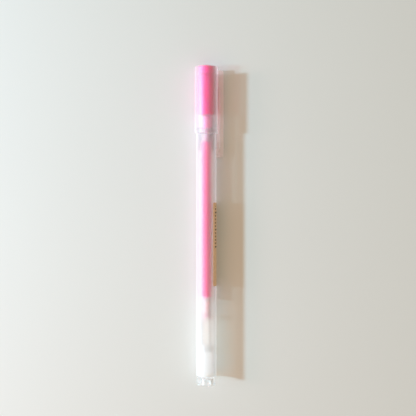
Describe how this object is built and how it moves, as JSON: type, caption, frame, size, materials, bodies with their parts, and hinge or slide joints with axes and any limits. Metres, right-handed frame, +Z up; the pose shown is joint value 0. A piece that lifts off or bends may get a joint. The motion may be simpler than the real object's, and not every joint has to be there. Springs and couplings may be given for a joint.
{
  "type": "fabric marking pen",
  "caption": "Capped gel-ink fabric marking pen with a frosted see-through barrel, a pink refill, a pink inner cap, a springy side clip and a paper label, lying on its side.",
  "frame": {"origin": "on the surface the pen lies on, under the middle of the pen's box", "axes": "+Y along the pen from the tail plug to the crown of the cap, +Z up, +X towards the side that the clip is on"},
  "size_m": [0.0136, 0.15, 0.0107],
  "materials": {
    "frosted_plastic": "frosted translucent polypropylene with a soft sheen",
    "clear_plastic": "glossy nearly clear plastic",
    "nose_plastic": "semi-clear plastic with a fine sheen",
    "milky_tube": "milky translucent extruded tube",
    "pink_plastic": "pink moulded plastic",
    "tinted_plastic": "translucent plastic tinted pale pink",
    "valve_plastic": "milky grey-lavender plastic",
    "gel_ink": "pink gel ink in a tube",
    "follower_grease": "pale translucent grease",
    "seal_rubber": "soft matt elastomer",
    "tip_metal": "fine turned nickel silver",
    "ball_metal": "polished hard metal",
    "label_paper": "uncoated kraft paper with printed ruler ticks"
  },
  "bodies": {
    "barrel": {"barrel": "frosted_plastic", "tail_plug": "clear_plastic", "label": "label_paper"},
    "refill": {"refill_tube": "milky_tube", "ink_column": "gel_ink", "valve_seat": "valve_plastic", "tip_holder": "tinted_plastic", "point_tip": "tip_metal"},
    "follower": {"grease_follower": "follower_grease"},
    "check_ball": {"check_ball": "ball_metal"},
    "writing_ball": {"writing_ball": "ball_metal"},
    "nose": {"nose_cone": "nose_plastic"},
    "cap": {"cap_shell": "frosted_plastic", "cap_liner": "pink_plastic", "tip_seal": "seal_rubber", "cap_crown": "pink_plastic"},
    "clip": {"clip_arm": "frosted_plastic"}
  },
  "joints": [
    {"name": "refill_draw", "type": "slide", "parent": "barrel", "child": "refill", "axis": [0, 1, 0], "range_m": [0, 0.11]},
    {"name": "nose_pull", "type": "slide", "parent": "refill", "child": "nose", "axis": [0, 1, 0], "range_m": [0, 0.035]},
    {"name": "cap_pull", "type": "slide", "parent": "nose", "child": "cap", "axis": [0, 1, 0], "range_m": [0, 0.04]},
    {"name": "clip_flex", "type": "hinge", "parent": "cap", "child": "clip", "pos_m": [0.00508, 0.06463, 0.00206], "axis": [0.451, 0, 0.8925], "range_deg": [0, 6], "stiffness_Nm_per_rad": 0.3},
    {"name": "follower_creep", "type": "slide", "parent": "refill", "child": "follower", "axis": [0, 1, 0], "range_m": [0, 0.07], "deforming": ["ink_column"]},
    {"name": "check_ball_float", "type": "slide", "parent": "refill", "child": "check_ball", "axis": [0, 1, 0], "range_m": [-0.00045, 0.00045]},
    {"name": "ball_roll", "type": "hinge", "parent": "refill", "child": "writing_ball", "pos_m": [-0.00144, 0.06755, 0.00535], "axis": [1, 0, 0], "continuous": true}
  ]
}
